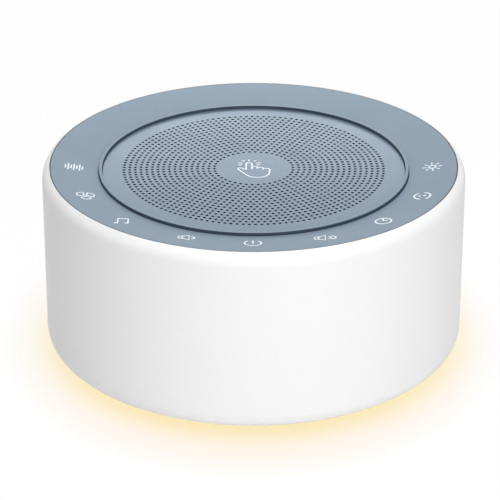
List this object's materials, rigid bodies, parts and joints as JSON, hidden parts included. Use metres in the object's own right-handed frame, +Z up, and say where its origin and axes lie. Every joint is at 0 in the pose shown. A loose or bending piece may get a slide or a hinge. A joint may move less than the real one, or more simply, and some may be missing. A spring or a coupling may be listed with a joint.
{
  "type": "white noise sound machine",
  "caption": "Round table-top white noise machine with a dished touch ring, perforated speaker grille, under-base glow ring and rear power inlet.",
  "frame": {"origin": "on the table under the centre of the round body", "axes": "+Z up, -Y the front with the power icon, +Y the back with the power inlet"},
  "size_m": [0.112, 0.112, 0.052],
  "materials": {
    "housing_white": "fine satin moulding, nearly smooth",
    "top_blue": "satin blue-grey moulding",
    "icon_white": "printed ink",
    "grille_blue": "satin blue-grey, perforated",
    "trim_dark": "dark upright ring, its top coated like the touch ring",
    "dust_cloth": "fine black mesh",
    "black_foam": "closed-cell foam",
    "contact_foam": "conductive cloth over foam",
    "flex_copper": "copper on amber film",
    "board_green": "solder mask",
    "board_white": "white solder mask",
    "chip_black": "moulded epoxy",
    "ribbon_white": "flat film cable",
    "frame_dark": "dark moulding",
    "screw_steel": "zinc plated",
    "speaker_steel": "black coated pressing",
    "surround_rubber": "soft roll",
    "spider_cloth": "resin-dipped cloth",
    "plated_iron": "zinc plated",
    "ferrite": "dark ceramic",
    "fibre_board": "phenolic paper",
    "brass_tab": "tinned",
    "tinsel": "braided copper",
    "tin_can": "drawn can",
    "capacitor_sleeve": "shrunk sleeve",
    "connector_cream": "moulded nylon",
    "socket_steel": "bright plated",
    "wire_red": "soft insulation",
    "wire_black": "soft insulation",
    "wire_white": "soft insulation",
    "emitter_amber": "phosphor-filled resin",
    "diffuser_milky": "milky translucent",
    "base_white": "fine spark texture",
    "foot_rubber": "soft non-slip",
    "cone_paper": "pressed paper",
    "former_film": "amber film",
    "coil_copper": "enamelled copper",
    "cap_paper": "pressed paper"
  },
  "bodies": {
    "root": {"body_shell": "housing_white", "touch_ring": "top_blue", "ring_screws": "screw_steel", "trim_ring": "trim_dark", "grille_disc": "grille_blue", "grille_cloth": "dust_cloth", "grille_gasket": "black_foam", "centre_touch_electrode": "flex_copper", "touch_board": "board_green", "touch_pads": "contact_foam", "touch_controller": "chip_black", "touch_ribbon": "ribbon_white", "inner_frame": "frame_dark", "speaker_basket": "speaker_steel", "speaker_surround": "surround_rubber", "speaker_gasket": "black_foam", "speaker_spider": "spider_cloth", "speaker_top_plate": "plated_iron", "speaker_magnet": "ferrite", "speaker_yoke": "plated_iron", "terminal_strip": "fibre_board", "solder_tabs": "brass_tab", "tinsel_leads": "tinsel", "speaker_screws": "screw_steel", "main_board": "board_green", "sound_chip": "chip_black", "amplifier_chip": "chip_black", "memory_chip": "chip_black", "clock_crystal": "tin_can", "board_capacitors": "capacitor_sleeve", "board_inductors": "ferrite", "wire_connectors": "connector_cream", "ribbon_connectors": "connector_cream", "board_screws": "screw_steel", "power_socket": "socket_steel", "socket_tongue": "chip_black", "speaker_lead_red": "wire_red", "speaker_lead_black": "wire_black", "led_leads": "wire_white", "led_board": "board_white", "light_emitters": "emitter_amber", "diffuser_ring": "diffuser_milky", "base_plate": "base_white", "rubber_feet": "foot_rubber", "case_screws": "screw_steel"},
    "cone_body": {"speaker_cone": "cone_paper", "coil_former": "former_film", "voice_coil": "coil_copper", "dust_cap": "cap_paper"}
  },
  "joints": [
    {"name": "cone_travel", "type": "slide", "parent": "root", "child": "cone_body", "axis": [0, 0, 1], "range_m": [-0.0015, 0.0015], "stiffness_N_per_m": 1200, "deforming": ["speaker_surround", "speaker_spider", "tinsel_leads"]}
  ]
}
